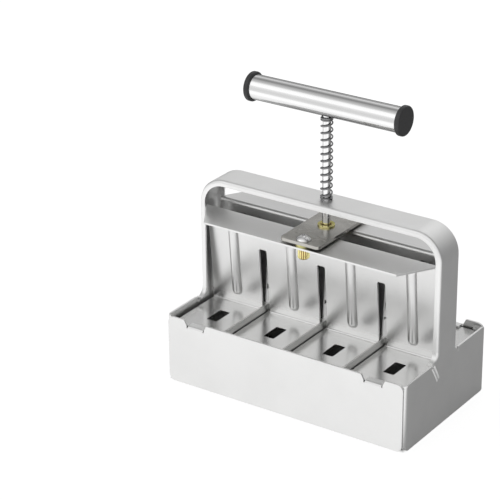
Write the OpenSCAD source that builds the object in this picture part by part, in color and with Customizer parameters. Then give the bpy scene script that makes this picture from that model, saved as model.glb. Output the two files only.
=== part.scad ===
// Hand soil blocker with eight cells.
// A bent frame of sheet steel holds an open box of cells under an arch.
// Two sheet plungers slide in the box, hung from a bracket on a sprung shaft.
// Origin: centre of the box on the table, X along the box, Y to the back, Z up.

/* [Box] */
// Length of the box over its end walls
box_length = 212; // [190:1:250]
// Depth of the box over its front and back walls
box_depth = 120; // [104:1:140]
// Height of the box from the table to its rim
box_height = 54.5; // [46:0.5:64]
// Thickness of the frame sheet and of the long walls
sheet = 1.5; // [1.2:0.1:2]
// Thickness of the dividers between the cells
divider_sheet = 1.2; // [0.8:0.1:1.5]
// Radius of the corners of the walls, seen face on
wall_corner_r = 5; // [3:0.5:8]

/* [Arch] */
// Height of the top of the arch above the table
arch_height = 153.6; // [145:0.2:155]
// Width of the strip that forms the arch
strap_width = 27; // [22:1:34]
// Outer radius of the arch's two upper corners
arch_corner_r = 22; // [14:1:26]
// Depth of the lips folded inward along the strip
lip_depth = 4.8; // [3.5:0.1:6]
// Outer radius of the folded edges
fold_r = 2.5; // [2:0.1:3]
// Radius of the front root, where a leg widens into an end wall
front_root_r = 7; // [3:0.5:9]
// Radius of the back root
back_root_r = 2; // [1:0.5:5]

/* [Stops] */
// Width of each stop tab folded from the rim
tab_width = 14; // [8:1:20]
// How far a stop tab reaches over the plates, from the wall's outer face
tab_reach = 7; // [6:0.5:10]
// How much wider the rim notch is at its mouth than at its floor
notch_flare = 5; // [1:0.5:8]

/* [Plungers] */
// Thickness of the plunger sheets
plunger_sheet = 1.5; // [1.2:0.1:2]
// Depth of the plates below the rim when the plunger is up
plate_drop = 6; // [5:0.5:9]
// Height of the top face of the plunger flanges above the table
flange_height = 129.2; // [118:0.1:130]
// Lean of the plunger walls away from each other, in degrees
wall_lean = 5; // [0:0.5:5]
// Reach of a flange from the middle of the tool to its straight edge
flange_reach = 39; // [38:1:44]
// Length cut from each end of a flange by its slanted corner
flange_corner_x = 17.5; // [14:0.5:30]
// Outer radius of the plunger's two bends
bend_r = 3; // [2.5:0.1:4]
// Width of the slots that clear the dividers
slot_width = 7; // [4:0.5:8]
// Stroke of the plunger, downward
stroke = 44; // [30:1:44]
// Length of the hole in each plate, front to back
hole_depth = 18.5; // [10:0.5:24]
// Width of the hole in each plate
hole_width = 9.3; // [6:0.1:14]

/* [Ribs] */
// Width of the pressed ribs on the plunger walls
rib_width = 9; // [6:0.5:12]
// Height of the ribs above the wall
rib_height = 3.2; // [2:0.1:4]

/* [Bracket] */
// Width of the bracket plate that joins the two plungers
bracket_width = 34; // [28:1:50]
// Depth of the bracket plate, front to back
bracket_depth = 74; // [74:1:84]
// Thickness of the bracket plate
bracket_thick = 2.5; // [2:0.5:5]
// Distance of the bracket screws from the middle
screw_offset = 30.5; // [28:0.5:32]

/* [Fasteners] */
// Thread diameter of the screws
screw_d = 6; // [5:0.5:6]
// Diameter of the screw heads
screw_head_d = 11.4; // [10:0.1:12]
// Height of the screw heads
screw_head_h = 3.3; // [2.5:0.1:4]
// Diameter of the flange of a rivet nut
rivet_flange_d = 13; // [12:0.5:15]
// Thickness of the flange of a rivet nut
rivet_flange_h = 1.2; // [1:0.1:2.5]
// Diameter of the body of a rivet nut
rivet_body_d = 9; // [8.4:0.1:10]
// Length of a rivet nut below its flange
rivet_body_h = 11.5; // [9:0.5:14]
// Number of flutes round the body of a rivet nut
rivet_flutes = 18; // [8:1:24]

/* [Shaft and spring] */
// Diameter of the shaft
shaft_d = 6; // [5:0.5:6]
// Diameter of the spring wire
wire_d = 1.2; // [0.8:0.1:1.3]
// Working turns of the spring
working_turns = 11; // [7:1:12]

/* [Handle] */
// Height of the handle's axis above the table
handle_height = 229; // [229:1:250]
// Length of the handle over its end caps
handle_length = 133; // [100:1:180]
// Outer diameter of the handle tube
handle_d = 19; // [18:0.5:24]
// Wall of the handle tube
handle_wall = 1.5; // [1:0.1:2]
// Diameter of the end caps
cap_d = 22.5; // [20:0.5:28]
// Thickness of the end caps outside the tube
cap_thick = 4.2; // [3:0.1:8]

/* [Hidden] */

steel = "gainsboro";
polished = "silver";
plated = "khaki";
dark = "dimgray";

$fn = 48;
eps = 0.01;
tiny = 0.5;              // how far a cutter runs past the face that it opens

// Box
columns = 4;
half_l = box_length / 2;
half_d = box_depth / 2;
inner_l = box_length - 2 * sheet;
inner_d = box_depth - 2 * sheet;
cell_pitch = (inner_l + divider_sheet) / columns;
divider_x = [for (k = [1 - columns / 2 : columns / 2 - 1]) k * cell_pitch];
cell_x = [for (k = [0 : columns - 1]) (k - (columns - 1) / 2) * cell_pitch];
panel_inset = 2;         // the long walls stop short of the end walls' faces
corner_bend_r = 3;       // upright bends at the box's four corners
corner_lip = 10;         // length of the lips that the long walls are welded to
corner_lip_y = half_d - sheet;
egg_slot_clear = 0.1;    // half-lap joint between the dividers, each side

// Arch
roots = [[-1, front_root_r], [1, back_root_r]];
edge_flat = 1;           // flat strip beside a folded edge
edge_overlap = 0.5;      // how far it runs into the sheet that it belongs to
arch_top_straight = box_length - 2 * arch_corner_r;
relief_width = 1.6;      // small notch where a lip's root meets the rim
relief_depth = fold_r + 1;
relief_bite = 0.2;       // how far the notch trims the end of the lip
kerf_width = 1.4;        // slanted relief cut below the front root
kerf_length = 14;
kerf_tilt = 30;
kerf_top_drop = 2;

// Plunger
guide_gap = 0.5;         // between a plunger wall and the centre divider
wall_back = divider_sheet / 2 + guide_gap;
wall_front = wall_back + plunger_sheet;
side_gap = 3;            // between the plungers' ends and the end walls
plunger_half_l = half_l - sheet - side_gap;
plate_gap = 0.5;         // between the plates and the corner lips
plate_reach = corner_lip_y - sheet - plate_gap;
plate_top = box_height - plate_drop;
plate_bottom = plate_top - plunger_sheet;
foot_bend = [-wall_back - bend_r, plate_bottom + bend_r];
wall_rise = flange_height - bend_r - foot_bend[1];
wall_length = wall_rise / cos(wall_lean);
head_bend = foot_bend + [-wall_rise * tan(wall_lean), wall_rise];
tangent_trim = 0.005;    // leaning faces stop this short of a tangent to the bends
slot_spare = 3.5;        // left above the dividers at the end of the stroke
slot_top = box_height + stroke + slot_spare;
slot_corner_r = 1.5;
plate_side_gap = 0.9;    // between the plates and the dividers
hole_corner_r = 1.2;
hole_y = (wall_front + plate_reach) / 2;

// Stops
stop_gap = 0.3;          // between the plates and the tabs
tab_bottom = plate_top + stop_gap;
tab_top = tab_bottom + sheet;
tab_bend_r = sheet + 0.5;
tab_relief = 1;          // cut at each side of a tab's bend

// Ribs, in the frame of the leaning wall: origin on the axis of the foot bend
rib_r = (rib_width * rib_width / 4 + rib_height * rib_height) / (2 * rib_height);
rib_axis_y = bend_r - plunger_sheet - rib_height + rib_r;
rib_above_bend = 6;
rib_below_bend = 4;
rib_low_z = rib_above_bend + rib_width / 2;
rib_high_z = wall_length - rib_below_bend - rib_width / 2;

// Bracket and fasteners
bracket_bottom = flange_height + rivet_flange_h;
bracket_top = bracket_bottom + bracket_thick;
bracket_corner_r = 3;
fit = 0.05;              // radial clearance of a close fit
screw_clear = 0.2;       // radial clearance of a screw's through hole
rivet_window = 1;        // radial clearance round the shaft's rivet nut
rivet_bulge_d = rivet_body_d + 1.4;
rivet_bulge_h = 1.6;
screw_length = rivet_flange_h + bracket_thick + rivet_body_h - 1;
rivet_flute_r = 0.5;
rivet_chamfer = 1;
rivet_mouth = 0.9;       // countersink at the mouth of a rivet nut
screw_edge_h = 0.6;      // straight edge under the dome of a screw head
recess_width = 1;
recess_length = 4.4;
recess_depth = 1.8;

// Shaft, spring and handle
shaft_run = 0.1;         // radial clearance of the shaft in the arch
shaft_foot = bracket_bottom - (rivet_body_h - bracket_thick);
tube_inner_r = handle_d / 2 - handle_wall;
tube_bottom = handle_height - handle_d / 2;
shaft_top_gap = 0.1;
shaft_top = handle_height + sqrt(pow(tube_inner_r, 2) - pow(shaft_d / 2, 2)) - shaft_top_gap;
nut_flats = 1.6 * shaft_d;
nut_height = 0.8 * shaft_d;
nut_seat = 0.1;
nut_bottom = handle_height - sqrt(pow(tube_inner_r, 2) - pow(nut_flats / 2, 2)) + nut_seat;
spring_gap = 0.6;        // between the spring and the shaft
spring_r = shaft_d / 2 + spring_gap + wire_d / 2;
spring_seat = 0.05;
spring_low = arch_height + wire_d / 2 + spring_seat;
spring_high = tube_bottom - wire_d / 2 - spring_seat;
closed_low = 1.5;        // closed turns at the foot of the spring
closed_high = 2;         // closed turns at its head
closed_pitch = wire_d * 1.02;
coil_steps = 20;         // rings in one turn
wire_sides = 8;
spring_turns = closed_low + working_turns + closed_high;
working_rise = spring_high - spring_low - (closed_low + closed_high) * closed_pitch;
cap_edge_r = 1.2;
cap_plug = 10;
cap_plug_wall = 2;
tube_half_l = handle_length / 2 - cap_thick;

// ---- Plain shapes ----

// Rectangle centred on the origin with round corners
module round_rect(w, h, r) {
    square([w - 2 * r, h], center = true);
    square([w, h - 2 * r], center = true);
    for (sx = [-1, 1], sy = [-1, 1])
        translate([sx * (w / 2 - r), sy * (h / 2 - r)]) circle(r);
}

// Quarter of a ring in the quadrant +X +Y, for the bends of a sheet
module quarter_ring(r, t) {
    difference() {
        intersection() {
            circle(r);
            square(r);
        }
        circle(r - t);
    }
}

// Stands a flat outline up, so that its X runs to the back and its Y up,
// and draws it out along X by len about the middle
module along_x(len) {
    rotate([90, 0, 90]) linear_extrude(len, center = true) children();
}

// Section of a strip with folded lips: outer face on X = 0, lips towards -X
module channel(width, depth, r, t) {
    translate([-t, -width / 2 + r]) square([t, width - 2 * r]);
    for (s = [-1, 1])
        scale([1, s]) translate([-r, width / 2 - r]) {
            quarter_ring(r, t);
            translate([r - depth, r - t]) square([depth - r, t]);
        }
}

// ---- Frame ----

// One leg of the arch with its lips, from above the roots to the corner
module leg() {
    foot = box_height + front_root_r;
    translate([half_l, 0, foot])
        linear_extrude(arch_height - arch_corner_r - foot)
            channel(strap_width, lip_depth, fold_r, sheet);
}

// Upper corner of the arch
module arch_corner() {
    translate([half_l - arch_corner_r, 0, arch_height - arch_corner_r])
        rotate([90, 0, 0])
            rotate_extrude(angle = 90)
                translate([arch_corner_r, 0])
                    channel(strap_width, lip_depth, fold_r, sheet);
}

// Section of one folded edge: lip face on X = 0, outer face of the strip on Y = 0
module folded_edge() {
    translate([fold_r, -fold_r]) scale([-1, 1]) quarter_ring(fold_r, sheet);
    translate([0, -lip_depth]) square([sheet, lip_depth - fold_r]);
    translate([fold_r, -sheet]) square([edge_flat, sheet]);
}

// Folded edge that flares round a root of radius r and runs up to the leg
module root_lip(r) {
    run_up = front_root_r - r;
    translate([half_l, -strap_width / 2 - r, box_height + r]) {
        rotate([90, 0, 90])
            rotate([0, 0, -90])
                rotate_extrude(angle = 90)
                    translate([r, 0]) folded_edge();
        if (run_up > 0)
            linear_extrude(run_up)
                translate([0, r]) mirror([1, 0]) rotate(90) folded_edge();
    }
}

// Quarter disc round a root's centre, which the folded edge takes from the flat sheet
module root_void(side, r) {
    void_r = r + fold_r + edge_overlap;
    translate([side * (strap_width / 2 + r), box_height + r])
        scale([-side, -1])
            intersection() {
                circle(void_r);
                square(void_r);
            }
}

// Flat of the sheet where a leg widens into its end wall
module root_web() {
    flat_w = strap_width - 2 * (fold_r + edge_overlap);
    foot_depth = fold_r + 2 * edge_flat;
    translate([half_l - sheet / 2, 0, 0])
        along_x(sheet) {
            translate([-flat_w / 2, box_height - foot_depth])
                square([flat_w, foot_depth + front_root_r]);
            difference() {
                translate([-strap_width / 2 - front_root_r, box_height - foot_depth])
                    square([strap_width + front_root_r + back_root_r, foot_depth]);
                for (root = roots) root_void(root[0], root[1]);
            }
            for (root = roots)
                difference() {
                    translate([min(0, root[0] * (strap_width / 2 + root[1])), box_height])
                        square([strap_width / 2 + root[1], root[1]]);
                    root_void(root[0], root[1]);
                }
        }
}

// End wall of the box with the upright lips at its two ends
module end_wall() {
    difference() {
        intersection() {
            translate([half_l, 0, 0])
                linear_extrude(box_height)
                    channel(2 * corner_lip_y, corner_lip, corner_bend_r, sheet);
            translate([half_l, 0, box_height / 2])
                along_x(3 * corner_lip)
                    round_rect(2 * corner_lip_y, box_height, wall_corner_r);
        }
        translate([half_l, 0, 0])
            along_x(2 * sheet + 2 * tiny)
                for (root = roots) root_void(root[0], root[1]);
    }
}

// Small notches beside the roots and the slanted relief cut under the front one
module root_reliefs() {
    notch_x = lip_depth + 2 * tiny;
    for (root = roots)
        translate([half_l - notch_x + tiny, 0, box_height - relief_depth])
            scale([1, root[0], 1])
                translate([0, strap_width / 2 + root[1] - relief_bite, 0])
                    cube([notch_x, relief_width, relief_depth + tiny]);
    translate([half_l, -strap_width / 2 - front_root_r, box_height - kerf_top_drop])
        rotate([kerf_tilt, 0, 0])
            translate([0, 0, -kerf_length / 2])
                cube([4 * sheet, kerf_width, kerf_length], center = true);
}

module end_frame() {
    color(steel)
        difference() {
            union() {
                for (s = [0, 1])
                    mirror([s, 0, 0]) {
                        difference() {
                            union() {
                                end_wall();
                                root_web();
                                root_lip(front_root_r);
                                mirror([0, 1, 0]) root_lip(back_root_r);
                            }
                            root_reliefs();
                        }
                        leg();
                        arch_corner();
                    }
                translate([0, 0, arch_height])
                    rotate([0, -90, 0])
                        linear_extrude(arch_top_straight, center = true)
                            channel(strap_width, lip_depth, fold_r, sheet);
            }
            translate([0, 0, arch_height - sheet - tiny])
                cylinder(d = shaft_d + 2 * shaft_run, h = sheet + 2 * tiny);
        }
}

// Outline of a rim notch, with its floor on Y = 0
module notch_outline() {
    mouth = tab_width + 2 * tab_relief + notch_flare;
    floor_w = tab_width + 2 * tab_relief;
    depth = box_height - tab_top + tiny;
    polygon([
        [-floor_w / 2, 0],
        [floor_w / 2, 0],
        [mouth / 2, depth],
        [-mouth / 2, depth],
    ]);
}

// Stop tab, folded inward from the wall on the -Y side
module stop_tab() {
    bend_z = tab_top - tab_bend_r;
    translate([0, -half_d, 0])
        along_x(tab_width) {
            translate([tab_bend_r, bend_z])
                scale([-1, 1]) quarter_ring(tab_bend_r, sheet);
            translate([tab_bend_r - eps, tab_bottom])
                square([tab_reach - tab_bend_r, sheet]);
            translate([0, bend_z - tab_bend_r]) square([sheet, tab_bend_r + eps]);
        }
}

module long_wall() {
    difference() {
        translate([0, -half_d + sheet / 2, box_height / 2])
            rotate([90, 0, 0])
                linear_extrude(sheet, center = true)
                    round_rect(box_length - 2 * panel_inset, box_height, wall_corner_r);
        for (x = [cell_x[0], cell_x[columns - 1]]) {
            translate([x, -half_d + sheet / 2, tab_top])
                rotate([90, 0, 0])
                    linear_extrude(sheet + 2 * tiny, center = true) notch_outline();
            translate([x, -half_d + sheet / 2, tab_top - tab_bend_r / 2])
                cube([tab_width + 2 * tab_relief, sheet + 2 * tiny, tab_bend_r],
                     center = true);
        }
    }
    for (x = [cell_x[0], cell_x[columns - 1]])
        translate([x, 0, 0]) stop_tab();
}

module front_wall() {
    color(steel) long_wall();
}

module back_wall() {
    color(steel) mirror([0, 1, 0]) long_wall();
}

// Divider between two columns, notched from below over the centre divider
module cross_divider(x) {
    notch_w = divider_sheet + 2 * egg_slot_clear;
    color(steel)
        difference() {
            translate([x - divider_sheet / 2, -inner_d / 2, 0])
                cube([divider_sheet, inner_d, box_height]);
            translate([x - divider_sheet, -notch_w / 2, -tiny])
                cube([2 * divider_sheet, notch_w, box_height / 2 + tiny]);
        }
}

module left_divider() {
    cross_divider(divider_x[0]);
}

module middle_divider() {
    cross_divider(divider_x[1]);
}

module right_divider() {
    cross_divider(divider_x[2]);
}

// Divider between the two rows, notched from above under the cross dividers
module centre_divider() {
    notch_w = divider_sheet + 2 * egg_slot_clear;
    color(steel)
        difference() {
            translate([-inner_l / 2, -divider_sheet / 2, 0])
                cube([inner_l, divider_sheet, box_height]);
            for (x = divider_x)
                translate([x - notch_w / 2, -divider_sheet, box_height / 2])
                    cube([notch_w, 2 * divider_sheet, box_height]);
        }
}

// ---- Plungers ----

// Everything inside an offset of r from the sheet's bend axes, open towards -X
module plunger_outline(r, over) {
    polygon([
        foot_bend,
        head_bend,
        [-flange_reach - over, head_bend[1]],
        [-plate_reach - over, foot_bend[1]],
    ]);
    for (bend = [foot_bend, head_bend]) translate(bend) circle(r);
    translate(foot_bend)
        rotate(wall_lean)
            translate([-r, 0]) square([2 * r - tangent_trim, wall_length]);
    translate([-plate_reach - over, foot_bend[1] - r])
        square([plate_reach + over + foot_bend[0], r]);
    translate([-flange_reach - over, head_bend[1]])
        square([flange_reach + over + head_bend[0], r]);
}

// Section of the sheet: plate at the foot, leaning wall and flange
module plunger_section() {
    difference() {
        plunger_outline(bend_r, 0);
        plunger_outline(bend_r - plunger_sheet, tiny);
    }
}

// Places what is drawn in the frame of the leaning wall
module on_wall() {
    translate([0, foot_bend[0], foot_bend[1]]) rotate([wall_lean, 0, 0]) children();
}

// Round-ended bar that gives a pressed rib its faces
module rib_bar(r) {
    translate([0, rib_axis_y, rib_low_z]) cylinder(r = r, h = rib_high_z - rib_low_z);
    for (z = [rib_low_z, rib_high_z])
        translate([0, rib_axis_y, z]) sphere(r = r);
}

module rib_shell() {
    intersection() {
        rib_bar(rib_r);
        translate([-rib_width, bend_r - plunger_sheet - 2 * rib_height, 0])
            cube([2 * rib_width, 2 * rib_height + plunger_sheet / 2, wall_length]);
    }
}

// Slanted corner cut from one end of a flange, from the end of its bend outward
module flange_corner() {
    translate([0, 0, flange_height - 2 * plunger_sheet])
        linear_extrude(3 * plunger_sheet)
            polygon([
                [plunger_half_l, head_bend[0]],
                [plunger_half_l - flange_corner_x, -flange_reach],
                [plunger_half_l - flange_corner_x, -flange_reach - tiny],
                [plunger_half_l + tiny, -flange_reach - tiny],
                [plunger_half_l + tiny, head_bend[0]],
            ]);
}

// Slot that clears a divider: narrow in the plates, wide in the wall with a round top
module divider_slot() {
    plate_slot = divider_sheet + 2 * plate_side_gap;
    slot_foot = plate_top + tiny;
    translate([0, -plate_reach / 2, 0])
        rotate([90, 0, 0])
            linear_extrude(plate_reach + 2 * tiny, center = true) {
                translate([-plate_slot / 2, plate_bottom - tiny])
                    square([plate_slot, slot_foot + tiny - plate_bottom + tiny]);
                translate([-slot_width / 2, slot_foot])
                    square([slot_width, slot_top - slot_corner_r - slot_foot]);
                translate([0, slot_top - slot_width / 2])
                    round_rect(slot_width, slot_width, slot_corner_r);
            }
}

module plunger() {
    difference() {
        union() {
            along_x(2 * plunger_half_l) plunger_section();
            for (x = cell_x) translate([x, 0, 0]) on_wall() rib_shell();
        }
        for (x = cell_x) {
            translate([x, 0, 0]) on_wall() rib_bar(rib_r - plunger_sheet);
            translate([x, -hole_y, plate_bottom - tiny])
                linear_extrude(plunger_sheet + 2 * tiny)
                    round_rect(hole_width, hole_depth, hole_corner_r);
        }
        for (x = divider_x) translate([x, 0, 0]) divider_slot();
        for (s = [0, 1]) mirror([s, 0, 0]) flange_corner();
        translate([0, -screw_offset, flange_height - plunger_sheet - tiny])
            cylinder(d = rivet_body_d + 2 * fit, h = plunger_sheet + 2 * tiny);
        translate([0, 0, shaft_foot - rivet_window])
            cylinder(r = rivet_body_d / 2 + rivet_window, h = flange_height);
    }
}

module front_plunger() {
    color(polished) plunger();
}

module rear_plunger() {
    color(polished) mirror([0, 1, 0]) plunger();
}

// ---- Bracket and its fasteners ----

module bracket_plate() {
    color(polished)
        translate([0, 0, bracket_bottom])
            linear_extrude(bracket_thick)
                difference() {
                    round_rect(bracket_width, bracket_depth, bracket_corner_r);
                    circle(d = rivet_body_d + 2 * fit);
                    for (s = [-1, 1])
                        translate([0, s * screw_offset])
                            circle(d = screw_d + 2 * screw_clear);
                }
}

// Body of a rivet nut with its chamfered foot, fluted up to a crown t below Z = 0
module rivet_body(t) {
    flute_length = rivet_body_h + tiny - t - rivet_bulge_h;
    difference() {
        translate([0, 0, -rivet_body_h]) {
            translate([0, 0, rivet_chamfer])
                cylinder(d = rivet_body_d, h = rivet_body_h - rivet_chamfer);
            cylinder(d1 = rivet_body_d - 2 * rivet_chamfer, d2 = rivet_body_d, h = rivet_chamfer);
        }
        for (k = [1 : rivet_flutes])
            rotate(360 * k / rivet_flutes)
                translate([rivet_body_d / 2, 0, -rivet_body_h - tiny])
                    cylinder(r = rivet_flute_r, h = flute_length, $fn = 16);
    }
}

// Rivet nut with the underside of its flange on Z = 0, set on a sheet t thick
module rivet_nut(t, bore_d) {
    bore_r = bore_d / 2 + fit;
    mouth_z = rivet_flange_h - rivet_mouth - bore_r;
    mouth_h = rivet_flange_h + tiny - mouth_z;
    difference() {
        union() {
            rivet_body(t);
            translate([0, 0, -t - rivet_bulge_h])
                cylinder(d = rivet_bulge_d, h = rivet_bulge_h);
            cylinder(d = rivet_flange_d, h = rivet_flange_h);
        }
        translate([0, 0, -rivet_body_h - tiny])
            cylinder(r = bore_r, h = rivet_body_h + rivet_flange_h + 2 * tiny);
        translate([0, 0, mouth_z]) cylinder(r1 = 0, r2 = mouth_h, h = mouth_h);
    }
}

module front_rivet_nut() {
    color(plated)
        translate([0, -screw_offset, flange_height]) rivet_nut(plunger_sheet, screw_d);
}

module rear_rivet_nut() {
    color(plated)
        translate([0, screw_offset, flange_height]) rivet_nut(plunger_sheet, screw_d);
}

module shaft_rivet_nut() {
    color(plated)
        translate([0, 0, bracket_top]) rivet_nut(bracket_thick, shaft_d);
}

// Domed head on Z = 0 with a cross recess, and its shank below
module dome_screw() {
    dome_h = screw_head_h - screw_edge_h;
    dome_r = (pow(screw_head_d / 2, 2) + dome_h * dome_h) / (2 * dome_h);
    difference() {
        rotate_extrude() {
            intersection() {
                square([screw_head_d / 2, screw_head_h + tiny]);
                translate([0, screw_head_h - dome_r]) circle(dome_r);
            }
            translate([0, -screw_length]) square([screw_d / 2, screw_length + eps]);
        }
        for (a = [0, 90])
            rotate(a)
                translate([0, 0, screw_head_h - recess_depth / 2 + tiny / 2])
                    cube([recess_length, recess_width, recess_depth + tiny], center = true);
    }
}

module front_bracket_screw() {
    color(polished) translate([0, -screw_offset, bracket_top]) dome_screw();
}

module rear_bracket_screw() {
    color(polished) translate([0, screw_offset, bracket_top]) dome_screw();
}

// ---- Shaft, spring and handle ----

module shaft() {
    color(polished)
        translate([0, 0, shaft_foot]) cylinder(d = shaft_d, h = shaft_top - shaft_foot);
}

// Height of the wire's centre line after n turns, with closed turns at both ends
function wire_z(n) =
    n < closed_low ? spring_low + n * closed_pitch
    : n < closed_low + working_turns
        ? spring_low + closed_low * closed_pitch
          + (n - closed_low) / working_turns * working_rise
        : spring_high - (spring_turns - n) * closed_pitch;

// Ring of wire round the centre line after n turns
function wire_ring(n) =
    [for (k = [0 : wire_sides - 1])
        let (a = 360 * k / wire_sides, r = spring_r + wire_d / 2 * cos(a))
            [r * cos(360 * n), r * sin(360 * n), wire_z(n) + wire_d / 2 * sin(a)]];

module return_spring() {
    rings = round(spring_turns * coil_steps);
    points = [for (i = [0 : rings]) each wire_ring(i / coil_steps)];
    sides = [for (i = [0 : rings - 1], k = [0 : wire_sides - 1])
        let (a = i * wire_sides + k, b = i * wire_sides + (k + 1) % wire_sides)
            [a, b, b + wire_sides, a + wire_sides]];
    foot = [for (k = [0 : wire_sides - 1]) wire_sides - 1 - k];
    head = [for (k = [0 : wire_sides - 1]) rings * wire_sides + k];
    color(dark) polyhedron(points, concat([foot], sides, [head]));
}

module handle_tube() {
    color(polished)
        difference() {
            translate([0, 0, handle_height])
                rotate([0, 90, 0])
                    difference() {
                        cylinder(d = handle_d, h = 2 * tube_half_l, center = true);
                        cylinder(r = tube_inner_r, h = 2 * tube_half_l + 2 * tiny, center = true);
                    }
            translate([0, 0, tube_bottom - tiny])
                cylinder(d = shaft_d + 2 * fit, h = handle_d / 2);
        }
}

// Hexagon nut that holds the tube on the shaft
module handle_nut() {
    color(plated)
        translate([0, 0, nut_bottom])
            linear_extrude(nut_height)
                difference() {
                    rotate(30) circle(d = nut_flats / cos(30), $fn = 6);
                    circle(d = shaft_d + 2 * fit);
                }
}

// End cap with a round rim outside the tube and a hollow plug inside it
module end_cap() {
    plug_r = tube_inner_r - fit;
    color(dark)
        translate([tube_half_l, 0, handle_height])
            rotate([0, 90, 0])
                rotate_extrude() {
                    square([cap_d / 2 - cap_edge_r, cap_thick]);
                    translate([0, cap_edge_r]) square([cap_d / 2, cap_thick - 2 * cap_edge_r]);
                    for (z = [cap_edge_r, cap_thick - cap_edge_r])
                        translate([cap_d / 2 - cap_edge_r, z]) circle(cap_edge_r);
                    translate([plug_r - cap_plug_wall, -cap_plug])
                        square([cap_plug_wall, cap_plug + eps]);
                }
}

module right_end_cap() {
    end_cap();
}

module left_end_cap() {
    mirror([1, 0, 0]) end_cap();
}

end_frame();
front_wall();
back_wall();
centre_divider();
left_divider();
middle_divider();
right_divider();
return_spring();
front_plunger();
rear_plunger();
bracket_plate();
front_bracket_screw();
rear_bracket_screw();
front_rivet_nut();
rear_rivet_nut();
shaft_rivet_nut();
shaft();
handle_tube();
handle_nut();
left_end_cap();
right_end_cap();
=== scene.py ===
"""Visual model of a hand soil blocker: finishes, fine pieces, studio and camera."""

from __future__ import annotations

import logging
import math
from collections.abc import Iterable, Mapping, Sequence
from dataclasses import dataclass
from enum import Enum
from typing import Any, Union

import bpy
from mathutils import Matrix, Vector


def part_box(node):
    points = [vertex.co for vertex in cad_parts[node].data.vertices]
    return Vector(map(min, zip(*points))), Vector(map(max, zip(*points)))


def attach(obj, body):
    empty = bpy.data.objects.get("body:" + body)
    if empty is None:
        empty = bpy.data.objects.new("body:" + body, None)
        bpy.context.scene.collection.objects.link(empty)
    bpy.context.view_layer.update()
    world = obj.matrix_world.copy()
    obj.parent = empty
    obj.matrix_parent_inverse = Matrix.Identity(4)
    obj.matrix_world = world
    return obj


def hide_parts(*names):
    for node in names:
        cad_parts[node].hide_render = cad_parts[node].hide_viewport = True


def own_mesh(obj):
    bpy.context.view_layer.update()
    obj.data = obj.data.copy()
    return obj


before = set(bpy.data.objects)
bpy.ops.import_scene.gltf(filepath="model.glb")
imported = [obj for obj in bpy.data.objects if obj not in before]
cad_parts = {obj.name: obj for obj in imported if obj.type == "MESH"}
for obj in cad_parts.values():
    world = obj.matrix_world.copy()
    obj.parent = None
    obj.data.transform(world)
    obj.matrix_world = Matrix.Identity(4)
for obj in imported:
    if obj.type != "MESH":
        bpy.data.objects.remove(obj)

LOG = logging.getLogger("soil_blocker")

Colour = tuple[float, float, float]
Place = tuple[float, float, float]
Step = tuple[float, float]
Operand = Union["Wire", float]

WHITE = (1.0, 1.0, 1.0, 1.0)
NOISE_MEAN = 0.5
BEVEL_SAMPLES = 6
EDGE_STEP: Step = (0.02, 0.22)


# ---- Shader graphs ----


@dataclass(frozen=True)
class Pattern:
    """Cloudy noise that a smooth step turns into patches."""

    per_metre: float
    detail: float
    roughness: float
    step: Step


class Wire:
    """An output of a shader node. Arithmetic on it adds Math nodes to its graph."""

    def __init__(self, graph: Graph, socket: bpy.types.NodeSocket | None) -> None:
        """Keeps the graph and the socket that the value comes from."""
        self.graph = graph
        self.socket = socket

    def maths(self, operation: str, *operands: Operand) -> Wire:
        """Adds one Math node.

        Args:
            operation: Blender's name of the operation.
            operands: The node's inputs, in order.

        Returns:
            The node's result.
        """
        return self.graph.node(
            "ShaderNodeMath", {"operation": operation}, dict(enumerate(operands))
        )

    def __add__(self, other: Operand) -> Wire:
        """Sum with a value on the right."""
        return self.maths("ADD", self, other)

    def __radd__(self, other: Operand) -> Wire:
        """Sum with a value on the left."""
        return self.maths("ADD", other, self)

    def __sub__(self, other: Operand) -> Wire:
        """Difference with a value on the right."""
        return self.maths("SUBTRACT", self, other)

    def __rsub__(self, other: Operand) -> Wire:
        """Difference with a value on the left."""
        return self.maths("SUBTRACT", other, self)

    def __mul__(self, other: Operand) -> Wire:
        """Product with a value on the right."""
        return self.maths("MULTIPLY", self, other)

    def __rmul__(self, other: Operand) -> Wire:
        """Product with a value on the left."""
        return self.maths("MULTIPLY", other, self)

    def __abs__(self) -> Wire:
        """Absolute value."""
        return self.maths("ABSOLUTE", self)

    def at_most(self, other: Operand) -> Wire:
        """Smaller of two values."""
        return self.maths("MINIMUM", self, other)

    def at_least(self, other: Operand) -> Wire:
        """Larger of two values."""
        return self.maths("MAXIMUM", self, other)

    def ramp(self, low: float, high: float) -> Wire:
        """Smooth step.

        Args:
            low: Value at which the step starts to rise.
            high: Value at which it is complete.

        Returns:
            0 below low, 1 above high, smooth between them.
        """
        return self.graph.node(
            "ShaderNodeMapRange",
            {"interpolation_type": "SMOOTHSTEP"},
            {"Value": self, "From Min": low, "From Max": high},
        )


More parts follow.
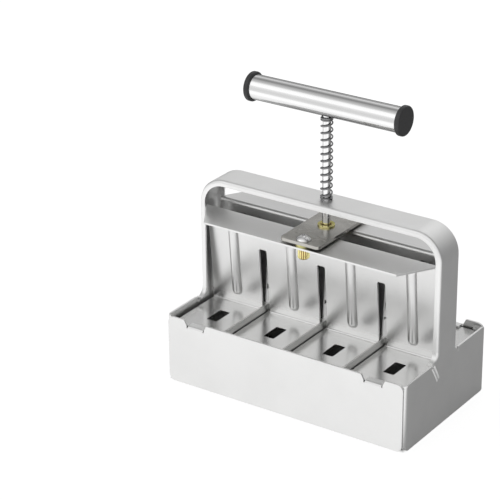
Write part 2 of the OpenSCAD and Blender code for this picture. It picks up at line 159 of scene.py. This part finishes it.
class Graph:
    """The node graph of one material or of the world."""

    def __init__(self, tree: bpy.types.NodeTree) -> None:
        """Empties the tree and keeps it."""
        tree.nodes.clear()
        self.tree = tree

    def node(
        self,
        kind: str,
        settings: Mapping[str, Any] | None = None,
        sockets: Mapping[int | str, Any] | None = None,
        output: int | str = 0,
    ) -> Wire:
        """Adds a node.

        Args:
            kind: The node's type.
            settings: Its properties, set first.
            sockets: Values of, or wires to, its inputs by name or number.
            output: The output that the result is read from.

        Returns:
            That output.
        """
        made = self.tree.nodes.new(kind)
        for name, value in (settings or {}).items():
            setattr(made, name, value)
        for key, value in (sockets or {}).items():
            if isinstance(value, Wire):
                self.tree.links.new(value.socket, made.inputs[key])
            else:
                made.inputs[key].default_value = value
        return Wire(self, made.outputs[output] if made.outputs else None)

    def position(self) -> Wire:
        """Place on the object, in metres."""
        return self.node("ShaderNodeTexCoord", output="Object")

    def axis(self, vector: Wire, name: str) -> Wire:
        """One of a vector's X, Y and Z."""
        return self.node("ShaderNodeSeparateXYZ", sockets={0: vector}, output=name)

    def rays(self, kind: str) -> Wire:
        """Marks one kind of ray, by Blender's name of it."""
        return self.node("ShaderNodeLightPath", output=kind)

    def background_rays(self) -> Wire:
        """Marks the rays that show the background.

        Returns:
            1 for straight rays, mirrored ones and those through glass.
        """
        straight, mirrored, through = (
            self.rays(kind)
            for kind in ("Is Camera Ray", "Is Glossy Ray", "Is Transmission Ray")
        )
        return straight.at_least(mirrored).at_least(through)

    def noise(
        self, spot: Wire, scale: float, detail: float, roughness: float = 0.5
    ) -> Wire:
        """Cloudy noise.

        Args:
            spot: Where it is read.
            scale: Clouds in a metre.
            detail: Layers of finer clouds.
            roughness: Strength of the finer layers.

        Returns:
            A value about NOISE_MEAN.
        """
        return self.node(
            "ShaderNodeTexNoise",
            sockets={
                "Vector": spot,
                "Scale": scale,
                "Detail": detail,
                "Roughness": roughness,
            },
        )

    def patches(self, spot: Wire, pattern: Pattern) -> Wire:
        """Patches of a pattern: 1 inside them and 0 between them."""
        clouds = self.noise(spot, pattern.per_metre, pattern.detail, pattern.roughness)
        return clouds.ramp(*pattern.step)

    def stretched(self, spot: Wire, scale: Place) -> Wire:
        """A place with each axis drawn out by its own factor."""
        return self.node(
            "ShaderNodeVectorMath", {"operation": "MULTIPLY"}, {0: spot, 1: scale}
        )

    def facing(self, vector: Wire, other: Wire | Place) -> Wire:
        """How far two directions agree: 1 where they are the same."""
        return self.node(
            "ShaderNodeVectorMath",
            {"operation": "DOT_PRODUCT"},
            {0: vector, 1: other},
            output="Value",
        )

    def blend(self, factor: Operand, low: Colour | Wire, high: Colour | Wire) -> Wire:
        """Mixes two colours.

        Args:
            factor: 0 for the first colour and 1 for the second.
            low: First colour.
            high: Second colour.

        Returns:
            The mixed colour.
        """
        first, second = (
            colour if isinstance(colour, Wire) else (*colour, 1.0)
            for colour in (low, high)
        )
        return self.node(
            "ShaderNodeMix",
            {"data_type": "RGBA"},
            {0: factor, 6: first, 7: second},
            output=2,
        )

    def rounded(self, radius: float) -> Wire:
        """Normal of the surface with its edges rounded off."""
        return self.node(
            "ShaderNodeBevel", {"samples": BEVEL_SAMPLES}, {"Radius": radius}
        )

    def edge_mask(self, rounded: Wire) -> Wire:
        """Marks the sharp edges, where a rounded normal leaves the face's own.

        Args:
            rounded: Normal with its edges rounded off.

        Returns:
            1 on an edge and 0 on a flat face.
        """
        flat = self.node("ShaderNodeNewGeometry", output="True Normal")
        return (1.0 - self.facing(rounded, flat)).ramp(*EDGE_STEP)

    def relief(self, height: Wire, depth: float, normal: Wire) -> Wire:
        """Gives a normal a fine relief.

        Args:
            height: The relief, from 0 to 1.
            depth: Its depth in metres.
            normal: Normal of the surface without it.

        Returns:
            The normal with the relief.
        """
        return self.node(
            "ShaderNodeBump",
            sockets={
                "Strength": 1.0,
                "Distance": depth,
                "Height": height,
                "Normal": normal,
            },
        )


def new_material(name: str) -> tuple[bpy.types.Material, Graph]:
    """Makes an empty material.

    Args:
        name: Its name.

    Returns:
        The material and its graph.
    """
    made = bpy.data.materials.new(name)
    made.use_nodes = True
    return made, Graph(made.node_tree)


def shade(colour: Colour, factor: float) -> Colour:
    """A colour made darker or lighter by a factor."""
    return tuple(min(1.0, part * factor) for part in colour)


# ---- Finishes ----


class Lay(Enum):
    """Direction in which the grain of a sheet runs."""

    ALONG_X = (0.05, 1.0, 1.0)
    AROUND = (0.35, 0.35, 0.35)


@dataclass(frozen=True)
class Metal:
    """Bare or plated metal with grain, cloudy tone, smudges and a painted highlight on
    its edges.
    """

    name: str
    tone: Colour
    roughness: float
    lay: Lay = Lay.AROUND
    grain_per_metre: float = 2400.0
    grain_depth: float = 0.000012
    grain_detail: float = 3.0
    grain_roughness: float = 0.6
    grain_swing: float = 0.35
    cloud: float = 0.06
    clouds: Pattern = Pattern(28.0, 4.0, 0.55, (0.3, 0.7))
    smudge: float = 0.12
    smudges: Pattern = Pattern(75.0, 6.0, 0.65, (0.5, 0.72))
    tint: Colour | None = None
    tinted: Pattern = Pattern(160.0, 3.0, 0.6, (0.42, 0.66))
    edge_radius: float = 0.00035
    edge_highlight_gain: float = 1.15
    highlight_scatter: float = 0.0
    rim_mirror: float = 1.0
    matt_above: float | None = None
    matt_fade: Step = (-0.002, 0.006)
    matt_gain: float = 0.10

    def paint_shade(self, graph: Graph, spot: Wire, colour: Wire) -> Wire:
        """Adds painted shade to the colour; plain sheet has none."""
        return colour

    def painted_highlight_share(self, graph: Graph, spot: Wire, edges: Wire) -> Wire:
        """Share of the light scattered as a painted highlight; on sheet only the edges
        get it.
        """
        return edges * self.highlight_scatter

    def material(self) -> bpy.types.Material:
        """Builds the finish.

        Returns:
            The material.
        """
        made, graph = new_material(self.name)
        spot = graph.position()
        grain = graph.noise(
            graph.stretched(spot, self.lay.value),
            self.grain_per_metre,
            self.grain_detail,
            self.grain_roughness,
        )
        rounded = graph.rounded(self.edge_radius)
        edges = graph.edge_mask(rounded)
        colour = graph.blend(
            graph.patches(spot, self.clouds),
            shade(self.tone, 1.0 - self.cloud),
            shade(self.tone, 1.0 + self.cloud),
        )
        if self.tint is not None:
            colour = graph.blend(graph.patches(spot, self.tinted), colour, self.tint)
        # Painted highlight: the colour is lightened along the sharp edges.
        colour = graph.blend(edges, colour, shade(self.tone, self.edge_highlight_gain))
        # Painted shade in hollows, where the finish has any.
        colour = self.paint_shade(graph, spot, colour)
        rough = (
            self.roughness
            + (grain - NOISE_MEAN) * (self.grain_swing * self.roughness)
            + graph.patches(spot, self.smudges) * self.smudge
        )
        if self.matt_above is not None:
            low, high = (self.matt_above + fade for fade in self.matt_fade)
            rough = rough + graph.axis(spot, "Z").ramp(low, high) * self.matt_gain
        metallic: Operand = 1.0
        # Painted highlight: edges lose their metal sheen and scatter light like matte
        # white, whatever they mirror.
        if self.highlight_scatter > 0.0:
            metallic = 1.0 - self.painted_highlight_share(graph, spot, edges)
        surface = graph.node(
            "ShaderNodeBsdfPrincipled",
            sockets={
                "Base Color": colour,
                "Metallic": metallic,
                "Roughness": rough,
                "Specular Tint": (*(self.rim_mirror,) * 3, 1.0),
                "Normal": graph.relief(grain, self.grain_depth, rounded),
            },
        )
        graph.node("ShaderNodeOutputMaterial", sockets={"Surface": surface})
        return made


@dataclass(frozen=True)
class FlutedPlating(Metal):
    """Plating of the rivet nuts, with painted shade in the flutes and in the mouth of
    the bore.
    """

    painted_shade_colour: Colour = (0.24, 0.10, 0.03)
    spacing: float = 0.0305
    flutes: int = 18
    flute_step: Step = (-0.1, 0.7)
    body_radius: float = 0.0046
    body_fade: float = 0.0002
    mouth_radius: float = 0.0037
    mouth_fade: float = 0.0003

    def paint_shade(self, graph: Graph, spot: Wire, colour: Wire) -> Wire:
        """Paints shade into the flutes and the mouth.

        Args:
            graph: The material's graph.
            spot: Place on the object.
            colour: Colour without the painted shade.

        Returns:
            The colour with painted shade.
        """
        across, along = graph.axis(spot, "X"), abs(graph.axis(spot, "Y"))
        aside = along.at_most(abs(along - self.spacing))
        square = across * across + aside * aside
        radius = square.maths("POWER", square, 0.5)
        turn = aside.maths("ARCTAN2", aside, across)
        wave = turn.maths("COSINE", turn * float(self.flutes))
        body = 1.0 - radius.ramp(self.body_radius, self.body_radius + self.body_fade)
        inner = self.mouth_radius - self.mouth_fade
        mouth = 1.0 - radius.ramp(inner, self.mouth_radius)
        # Painted shade: dark stripes in the flutes and a dark ring in the mouth of the
        # bore.
        mask = mouth.at_least(body * wave.ramp(*self.flute_step))
        return graph.blend(mask, colour, self.painted_shade_colour)


@dataclass(frozen=True)
class HighlightedBead(Metal):
    """Bead on an end wall, with a painted highlight on the ridges that stand proud of
    the wall.
    """

    wall_face: float = 0.106
    ridge_step: Step = (0.0002, 0.0004)

    def painted_highlight_share(self, graph: Graph, spot: Wire, edges: Wire) -> Wire:
        """Share of the light scattered as a painted highlight; on the bead its ridges
        get it.

        Args:
            graph: The material's graph.
            spot: Place on the object.
            edges: Mask of the sharp edges; not used here.

        Returns:
            The share that is scattered.
        """
        low, high = (self.wall_face + height for height in self.ridge_step)
        # Painted highlight: the ridges scatter light like matte white.
        ridges = abs(graph.axis(spot, "X")).ramp(low, high)
        return ridges * self.highlight_scatter


@dataclass(frozen=True)
class Moulding:
    """Dark moulded plastic with a fine matte texture and a painted highlight on its
    edges.
    """

    name: str
    tone: Colour
    roughness: float = 0.42
    rough_swing: float = 0.1
    texture_per_metre: float = 1500.0
    texture_detail: float = 2.0
    texture_depth: float = 0.00003
    dust: Pattern = Pattern(120.0, 5.0, 0.6, (0.45, 0.75))
    dust_cover: float = 0.5
    dust_gain: float = 1.5
    edge_radius: float = 0.0006
    edge_highlight_cover: float = 0.6
    edge_highlight_gain: float = 2.2

    def material(self) -> bpy.types.Material:
        """Builds the finish.

        Returns:
            The material.
        """
        made, graph = new_material(self.name)
        spot = graph.position()
        pores = graph.noise(spot, self.texture_per_metre, self.texture_detail)
        dust = graph.patches(spot, self.dust)
        rounded = graph.rounded(self.edge_radius)
        edges = graph.edge_mask(rounded)
        colour = graph.blend(
            dust * self.dust_cover, self.tone, shade(self.tone, self.dust_gain)
        )
        # Painted highlight: the colour is lightened along the sharp edges.
        colour = graph.blend(
            edges * self.edge_highlight_cover, colour, shade(self.tone, self.edge_highlight_gain)
        )
        rough = (
            self.roughness
            + dust * self.rough_swing
            + (pores - NOISE_MEAN) * self.rough_swing
        )
        surface = graph.node(
            "ShaderNodeBsdfPrincipled",
            sockets={
                "Base Color": colour,
                "Roughness": rough,
                "Normal": graph.relief(pores, self.texture_depth, rounded),
            },
        )
        graph.node("ShaderNodeOutputMaterial", sockets={"Surface": surface})
        return made


FRAME_STEEL = Metal(
    "frame_steel",
    (0.88, 0.88, 0.875),
    0.42,
    cloud=0.02,
    smudge=0.03,
    edge_highlight_gain=1.2,
    highlight_scatter=0.6,
)
WALL_STEEL = Metal(
    "wall_steel",
    (0.81, 0.81, 0.805),
    0.38,
    Lay.ALONG_X,
    cloud=0.015,
    smudge=0.03,
    edge_highlight_gain=1.2,
    highlight_scatter=0.6,
)
# Darker tone than the walls: painted shade for the dividers that stand down in the
# cells.
SHADED_DIVIDER_STEEL = Metal(
    "shaded_divider_steel",
    (0.58, 0.58, 0.57),
    0.36,
    cloud=0.03,
    smudge=0.03,
    edge_highlight_gain=1.6,
    highlight_scatter=0.5,
)
PLUNGER_STEEL = Metal(
    "plunger_steel",
    (0.79, 0.79, 0.785),
    0.21,
    Lay.ALONG_X,
    cloud=0.02,
    smudge=0.03,
    edge_highlight_gain=1.25,
    highlight_scatter=0.6,
    matt_above=0.0525,
)
BRACKET_STEEL = Metal(
    "bracket_steel",
    (0.44, 0.43, 0.405),
    0.22,
    Lay.ALONG_X,
    grain_depth=0.00006,
    cloud=0.15,
    edge_highlight_gain=1.0,
)
# Very light tone and strong scatter: painted highlight on the bead's ridges.
BEAD_STEEL = HighlightedBead(
    "bead_steel", (0.97, 0.97, 0.965), 0.40, cloud=0.02, highlight_scatter=0.95
)
BRIGHT_STEEL = Metal(
    "bright_steel",
    (0.84, 0.84, 0.84),
    0.12,
    Lay.ALONG_X,
    cloud=0.02,
    smudge=0.03,
    rim_mirror=0.3,
)
CHROME = Metal(
    "chrome", (0.95, 0.95, 0.95), 0.06, cloud=0.01, smudge=0.02, rim_mirror=0.15
)
SPRING_STEEL = Metal("spring_steel", (0.28, 0.28, 0.285), 0.26, cloud=0.12)
PLATED_STEEL = FlutedPlating(
    "plated_steel",
    (0.94, 0.82, 0.42),
    0.16,
    cloud=0.10,
    rim_mirror=0.3,
    tint=(0.72, 0.70, 0.30),
)
CAP_PLASTIC = Moulding("cap_plastic", (0.030, 0.030, 0.031))


# ---- Modelling helpers ----


def dress(nodes: Iterable[str], finish: Metal | Moulding) -> None:
    """Gives CAD nodes a finish.

    Args:
        nodes: Names of the nodes.
        finish: What they are made of.
    """
    material = finish.material()
    for name in nodes:
        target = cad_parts[name]
        if not target.material_slots:
            target.data.materials.append(material)
        for holder in target.material_slots:
            holder.material = material
        LOG.info("%s: %s", name, finish.name)


def start_fresh() -> None:
    """Leaves edit mode and deselects everything."""
    if bpy.context.object is not None and bpy.context.object.mode != "OBJECT":
        bpy.ops.object.mode_set(mode="OBJECT")
    bpy.ops.object.select_all(action="DESELECT")


def settle(piece: bpy.types.Object) -> None:
    """Puts a piece's place into its mesh, so that its object sits at the origin.

    Args:
        piece: The piece, which is then the only one selected.
    """
    start_fresh()
    piece.select_set(True)
    bpy.context.view_layer.objects.active = piece
    bpy.ops.object.transform_apply(location=True, rotation=True, scale=True)


def close_up(merge_reach: float, smooth_below: float) -> None:
    """Merges the active piece's doubles, turns its faces outwards and smooths it.

    Args:
        merge_reach: Distance in metres within which points become one.
        smooth_below: Angle in degrees up to which an edge looks smooth.
    """
    bpy.ops.object.mode_set(mode="EDIT")
    bpy.ops.mesh.select_all(action="SELECT")
    bpy.ops.mesh.remove_doubles(threshold=merge_reach)
    bpy.ops.mesh.normals_make_consistent(inside=False)
    bpy.ops.object.mode_set(mode="OBJECT")
    bpy.ops.object.shade_smooth_by_angle(angle=math.radians(smooth_below))


def finish_piece(
    piece: bpy.types.Object, name: str, body: str, finish: Metal | Moulding
) -> None:
    """Names, dresses and hangs a new piece on its body.

    Args:
        piece: The piece.
        name: Its name.
        body: CAD body that it moves with.
        finish: What it is made of.
    """
    piece.name = name
    piece.data.name = name
    piece.data.materials.clear()
    piece.data.materials.append(finish.material())
    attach(piece, body)
    LOG.info("%s: %s, %d faces", name, finish.name, len(piece.data.polygons))


# ---- Sub-assemblies ----


@dataclass
class Box:
    """Open box of cells and the arch over it."""

    frame_nodes: Sequence[str] = ("end_frame",)
    wall_nodes: Sequence[str] = ("front_wall", "back_wall")
    divider_nodes: Sequence[str] = (
        "centre_divider",
        "left_divider",
        "middle_divider",
        "right_divider",
    )

    def dress(self) -> None:
        """Gives the sheets their finishes."""
        dress(self.frame_nodes, FRAME_STEEL)
        dress(self.wall_nodes, WALL_STEEL)
        dress(self.divider_nodes, SHADED_DIVIDER_STEEL)


@dataclass
class ReliefBead:
    """Double bead along the slanted relief cut under a front root of the arch."""

    name: str
    side: float
    wall_face: float = 0.106
    sheet: float = 0.0015
    cut_top: tuple[float, float] = (-0.0205, 0.0525)
    cut_tilt: float = 30.0
    cut_length: float = 0.014
    cut_width: float = 0.0014
    web_play: float = 0.00005
    width: float = 0.0046
    height: float = 0.0005
    run_out: float = 0.0008
    furrow: float = 0.0024
    furrow_cuts: int = 4
    furrow_depth: float = 0.9
    rounding: float = 0.0002
    rounding_steps: int = 2
    merge_reach: float = 1e-7
    smooth_below: float = 40.0

    def grow_web(self, bead: bpy.types.Object) -> None:
        """Grows a web from the bead's back, which fills the cut in the wall.

        Args:
            bead: The bead, a flat block centred at the origin.
        """
        mesh = bead.data
        for part in (*mesh.vertices, *mesh.edges):
            part.select = False
        for face in mesh.polygons:
            face.select = self.side * face.normal.x < -0.5
        bpy.ops.object.mode_set(mode="EDIT")
        bpy.ops.mesh.select_mode(type="FACE")
        rim = (self.width - self.cut_width) / 2 + self.web_play
        bpy.ops.mesh.inset(thickness=rim, depth=0.0)
        bpy.ops.mesh.extrude_region_move(
            TRANSFORM_OT_translate={"value": (-self.side * self.sheet, 0.0, 0.0)}
        )
        bpy.ops.object.mode_set(mode="OBJECT")

    def sink_furrow(self, bead: bpy.types.Object) -> None:
        """Sinks a rounded furrow between two ridges, open at both ends.

        Args:
            bead: The bead, a flat block centred at the origin.
        """
        reach = self.furrow / 2
        for step in range(-self.furrow_cuts, self.furrow_cuts + 1):
            bpy.ops.object.mode_set(mode="EDIT")
            bpy.ops.mesh.select_all(action="SELECT")
            bpy.ops.mesh.bisect(
                plane_co=(0.0, reach * step / self.furrow_cuts, 0.0),
                plane_no=(0.0, 1.0, 0.0),
            )
            bpy.ops.object.mode_set(mode="OBJECT")
        foot = -self.height / 2
        for vertex in bead.data.vertices:
            rise = self.side * vertex.co.x - foot
            if rise > 0.0:
                share = min(1.0, abs(vertex.co.y) / reach)
                sunk = self.furrow_depth / 2 * (1.0 + math.cos(math.pi * share))
                vertex.co.x = self.side * (foot + rise * (1.0 - sunk))

    def build(self) -> None:
        """Shapes the bead, fills the cut behind it and hangs it on the frame."""
        tilt = math.radians(self.cut_tilt)
        half = self.cut_length / 2
        start_fresh()
        bpy.ops.mesh.primitive_cube_add(size=1.0)
        bead = bpy.context.object
        bead.scale = (self.height, self.width, self.cut_length + self.run_out)
        settle(bead)
        self.grow_web(bead)
        rounding = bead.modifiers.new("rounding", "BEVEL")
        rounding.width = self.rounding
        rounding.segments = self.rounding_steps
        rounding.limit_method = "ANGLE"
        bpy.ops.object.modifier_apply(modifier="rounding")
        self.sink_furrow(bead)
        bead.rotation_euler = (tilt, 0.0, 0.0)
        bead.location = (
            self.side * (self.wall_face + self.height / 2),
            self.cut_top[0] + half * math.sin(tilt),
            self.cut_top[1] - half * math.cos(tilt),
        )
        settle(bead)
        close_up(self.merge_reach, self.smooth_below)
        finish_piece(bead, self.name, "frame", BEAD_STEEL)


@dataclass
class Ejector:
    """Two plungers, the bracket that joins them and its fasteners."""

    plunger_nodes: Sequence[str] = ("front_plunger", "rear_plunger")
    bracket_nodes: Sequence[str] = ("bracket_plate",)
    screw_nodes: Sequence[str] = ("front_bracket_screw", "rear_bracket_screw")
    rivet_nodes: Sequence[str] = (
        "front_rivet_nut",
        "rear_rivet_nut",
        "shaft_rivet_nut",
    )

    def dress(self) -> None:
        """Gives the sheets and fasteners their finishes."""
        dress(self.plunger_nodes, PLUNGER_STEEL)
        dress(self.bracket_nodes, BRACKET_STEEL)
        dress(self.screw_nodes, CHROME)
        dress(self.rivet_nodes, PLATED_STEEL)


@dataclass
class Spring:
    """Return spring between the arch and the handle."""

    wire: float = 0.0012
    closed_low: float = 1.5
    working: float = 11.0
    closed_high: float = 2.0
    closed_pitch: float = 0.00123
    wire_sides: int = 14
    steps: int = 40
    stroke: float = 0.044
    merge_reach: float = 1e-6
    smooth_below: float = 60.0

    @property
    def turns(self) -> float:
        """Turns of the whole spring."""
        return self.closed_low + self.working + self.closed_high

    def height_at(self, turn: float, low: float, high: float) -> float:
        """Height of the wire's centre after some turns.

        Args:
            turn: Turns from the foot of the spring.
            low: Height of the wire's centre at the foot.
            high: Its height at the head.

        Returns:
            The height in metres.
        """
        rise = high - low - (self.closed_low + self.closed_high) * self.closed_pitch
        if turn < self.closed_low:
            return low + turn * self.closed_pitch
        if turn < self.closed_low + self.working:
            return (
                low
                + self.closed_low * self.closed_pitch
                + (turn - self.closed_low) / self.working * rise
            )
        return high - (self.turns - turn) * self.closed_pitch

    def build(self) -> None:
        """Winds the coil and lets it stand for the coarse one of the CAD model."""
        foot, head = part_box("return_spring")
        radius = (head.x - foot.x) / 2 - self.wire / 2
        start_fresh()
        bpy.ops.mesh.primitive_circle_add(
            vertices=self.wire_sides,
            radius=self.wire / 2,
            fill_type="NGON",
            location=(radius, 0.0, 0.0),
            rotation=(math.pi / 2, 0.0, 0.0),
        )
        coil = bpy.context.object
        settle(coil)
        winding = coil.modifiers.new("winding", "SCREW")
        winding.angle = 2 * math.pi * self.turns
        winding.screw_offset = 1.0
        winding.steps = winding.render_steps = round(self.turns * self.steps)
        winding.use_normal_calculate = True
        bpy.ops.object.modifier_apply(modifier="winding")
        self.set_pitch(coil, foot.z + self.wire / 2, head.z - self.wire / 2)
        close_up(self.merge_reach, self.smooth_below)
        finish_piece(coil, "spring_coil", "frame", SPRING_STEEL)
        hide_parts("return_spring")
        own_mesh(coil)

    def set_pitch(self, coil: bpy.types.Object, low: float, high: float) -> None:
        """Gives the wound wire its closed and its working turns.

        Args:
            coil: The coil, wound over a height of 1.
            low: Height of the wire's centre at the foot.
            high: Its height at the head.
        """
        stations = round(self.turns * self.steps)
        ring = len(coil.data.vertices) // (stations + 1)
        for number, vertex in enumerate(coil.data.vertices):
            share = number // ring / stations
            vertex.co.z += self.height_at(share * self.turns, low, high) - share


@dataclass
class Handle:
    """Shaft, handle tube, its nut and the end caps."""

    bright_nodes: Sequence[str] = ("shaft", "handle_tube", "handle_nut")
    cap_nodes: Sequence[str] = ("left_end_cap", "right_end_cap")

    def dress(self) -> None:
        """Gives the shaft, tube, nut and caps their finishes."""
        dress(self.bright_nodes, BRIGHT_STEEL)
        dress(self.cap_nodes, CAP_PLASTIC)


# ---- Studio ----


@dataclass(frozen=True)
class Room:
    """What metal mirrors of the room: zones of direction that fade into each other."""

    base: float = 0.27
    middle_gain: float = 0.26
    front_gain: float = 0.45
    back_gain: float = 0.64
    under_loss: float = 0.2
    horizon_loss: float = 0.4
    doorway_shade: float = 0.5
    right_shade: float = 0.5
    middle_depth: Step = (-0.15, 0.2)
    front_depth: Step = (0.1, 0.62)
    back_depth: Step = (0.2, 0.7)
    under_height: Step = (0.05, 0.5)
    horizon_height: Step = (0.05, 0.4)
    horizon_depth: Step = (0.3, 0.8)
    doorway: Place = (-0.494, 0.75, 0.44)
    doorway_step: Step = (0.985, 0.999)
    right_across: Step = (-0.1, 0.7)
    right_depth: Step = (-0.6, 0.2)

    def level(self, graph: Graph) -> Wire:
        """Brightness of the room by direction.

        Args:
            graph: The world's graph.

        Returns:
            The brightness that a mirrored ray meets.
        """
        way = graph.node("ShaderNodeTexCoord", output="Generated")
        across, depth, height = (graph.axis(way, name) for name in "XYZ")
        middle = 1.0 - depth.ramp(*self.middle_depth)
        front = (depth * -1.0).ramp(*self.front_depth)
        back = depth.ramp(*self.back_depth)
        under = (1.0 - height.ramp(*self.under_height)) * front
        low = 1.0 - height.ramp(*self.horizon_height)
        horizon = low * depth.ramp(*self.horizon_depth)
        doorway = graph.facing(way, self.doorway).ramp(*self.doorway_step)
        right = across.ramp(*self.right_across) * depth.ramp(*self.right_depth)
        level = (
            self.base
            + middle * self.middle_gain
            + front * self.front_gain
            + back * self.back_gain
            - under * self.under_loss
            - horizon * self.horizon_loss
        )
        level = level * (1.0 - doorway * self.doorway_shade)
        return level * (1.0 - right * self.right_shade)


@dataclass(frozen=True)
class Paper:
    """Pale paper under the object: its own tone and what metal mirrors of it."""

    half_x: float = 0.106
    half_y: float = 0.06
    rim: float = 0.006
    tone: Colour = (0.25, 0.25, 0.25)
    painted_shade_tone: Colour = (0.02, 0.02, 0.02)
    seen_level: float = 0.82
    mirrored_level: float = 0.82
    back_loss: float = 0.25
    near_gain: float = 0.15
    far_loss: float = 0.4
    beyond_loss: float = 0.45
    right_shade: float = 0.9
    near_step: Step = (0.14, 0.24)
    far_step: Step = (0.35, 1.0)
    back_step: Step = (-1.0, 2.0)
    beyond_step: Step = (3.0, 10.0)
    right_rim: Step = (-0.006, -0.001)
    right_lead: float = 0.05

    def mirrored(self, across: Wire, along: Wire) -> Wire:
        """Brightness of the paper to a mirrored ray.

        Args:
            across: Place along X.
            along: Place along Y.

        Returns:
            The brightness, which falls off to the back and far out, with a painted
            shadow at the right.
        """
        near = (along * -1.0).ramp(*self.near_step)
        far = (along * -1.0).ramp(*self.far_step)
        back = along.ramp(*(share * self.half_y for share in self.back_step))
        beyond = along.ramp(*(share * self.half_y for share in self.beyond_step))
        # Painted shadow: the glow that metal mirrors is dimmed beside the box's right
        # end.
        right = across.ramp(*(self.half_x + rim for rim in self.right_rim))
        right = right * along.ramp(-self.half_y - self.right_lead, -self.half_y)
        level = (
            self.mirrored_level
            - back * self.back_loss
            + near * self.near_gain
            - far * self.far_loss
            - beyond * self.beyond_loss
        )
        return level.at_least(0.0) * (1.0 - right * self.right_shade)

    def material(self) -> bpy.types.Material:
        """Builds the paper, with painted shade inside the box.

        Returns:
            The material.
        """
        made, graph = new_material("pale_floor")
        spot = graph.position()
        across, along = graph.axis(spot, "X"), graph.axis(spot, "Y")
        outside = abs(across).ramp(self.half_x - self.rim, self.half_x)
        outside = outside.at_least(
            abs(along).ramp(self.half_y - self.rim, self.half_y)
        )
        camera = graph.rays("Is Camera Ray")
        shown = (1.0 - camera) * graph.background_rays()
        glow = outside * (
            camera * self.seen_level + shown * self.mirrored(across, along)
        )
        # Painted shade: the paper inside the box's footprint is near black.
        colour = graph.blend(outside, self.painted_shade_tone, self.tone)
        paper = graph.node("ShaderNodeBsdfDiffuse", sockets={"Color": colour})
        shine = graph.node(
            "ShaderNodeEmission", sockets={"Color": WHITE, "Strength": glow}
        )
        both = graph.node("ShaderNodeAddShader", sockets={0: paper, 1: shine})
        graph.node("ShaderNodeOutputMaterial", sockets={"Surface": both})
        return made


@dataclass
class Studio:
    """Pale floor, soft light and the camera."""

    floor_size: float = 8.0
    paper: Paper = Paper()
    room: Room = Room()
    ambient: float = 0.95
    key_place: Place = (-1.3, -1.5, 1.7)
    key_aim: Place = (0.0, 0.0, 0.08)
    key_size: float = 1.2
    key_power: float = 1.0
    camera_place: Place = (0.75336, -1.18407, 0.75435)
    azimuth: float = 33.37
    elevation: float = 26.09
    film_width: float = 36.0
    lens: float = 148.81
    shift: tuple[float, float] = (-0.0928, 0.109)

    def build_world(self) -> None:
        """Lights the scene evenly and gives metal a room with dark zones to mirror."""
        world = bpy.data.worlds.new("studio")
        bpy.context.scene.world = world
        world.use_nodes = True
        graph = Graph(world.node_tree)
        camera = graph.rays("Is Camera Ray")
        seen = graph.background_rays()
        room = self.room.level(graph)
        level = camera + (1.0 - camera) * (seen * room + (1.0 - seen) * self.ambient)
        light = graph.node(
            "ShaderNodeBackground", sockets={"Color": WHITE, "Strength": level}
        )
        graph.node("ShaderNodeOutputWorld", sockets={"Surface": light})
        LOG.info("world: studio")

    def build_floor(self) -> None:
        """Lays the pale floor, which keeps the object's shadow."""
        start_fresh()
        bpy.ops.mesh.primitive_plane_add(size=self.floor_size)
        floor = bpy.context.object
        floor.name = "floor"
        floor.data.materials.append(self.paper.material())
        LOG.info("floor: pale_floor")

    def build_lamp(self) -> None:
        """Hangs the soft key lamp, which faces the object."""
        start_fresh()
        bpy.ops.object.light_add(type="AREA", location=self.key_place)
        lamp = bpy.context.object
        lamp.name = "key_lamp"
        lamp.data.shape = "SQUARE"
        lamp.data.size = self.key_size
        lamp.data.energy = self.key_power
        way = Vector(self.key_aim) - Vector(self.key_place)
        lamp.rotation_euler = way.to_track_quat("-Z", "Y").to_euler()
        LOG.info("%s: %.1f W", lamp.name, self.key_power)

    def build_camera(self) -> None:
        """Sets the camera where the photograph was taken from."""
        start_fresh()
        bpy.ops.object.camera_add(
            location=self.camera_place,
            rotation=(
                math.radians(90 - self.elevation),
                0.0,
                math.radians(self.azimuth),
            ),
        )
        camera = bpy.context.object
        camera.data.sensor_width = self.film_width
        camera.data.lens = self.lens
        camera.data.shift_x, camera.data.shift_y = self.shift
        bpy.context.scene.camera = camera
        bpy.context.scene.view_settings.view_transform = "Standard"
        LOG.info("camera: %.1f mm", self.lens)

    def build(self) -> None:
        """Builds the camera, floor, world and lamp."""
        self.build_camera()
        self.build_floor()
        self.build_world()
        self.build_lamp()


def main() -> None:
    """Builds the studio, dresses the model and adds the scene's own pieces."""
    logging.basicConfig(level=logging.INFO, format="%(message)s")
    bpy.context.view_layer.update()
    Studio().build()
    Box().dress()
    ReliefBead("left_relief_bead", -1.0).build()
    ReliefBead("right_relief_bead", 1.0).build()
    Ejector().dress()
    Spring().build()
    Handle().dress()


if __name__ == "__main__":
    main()
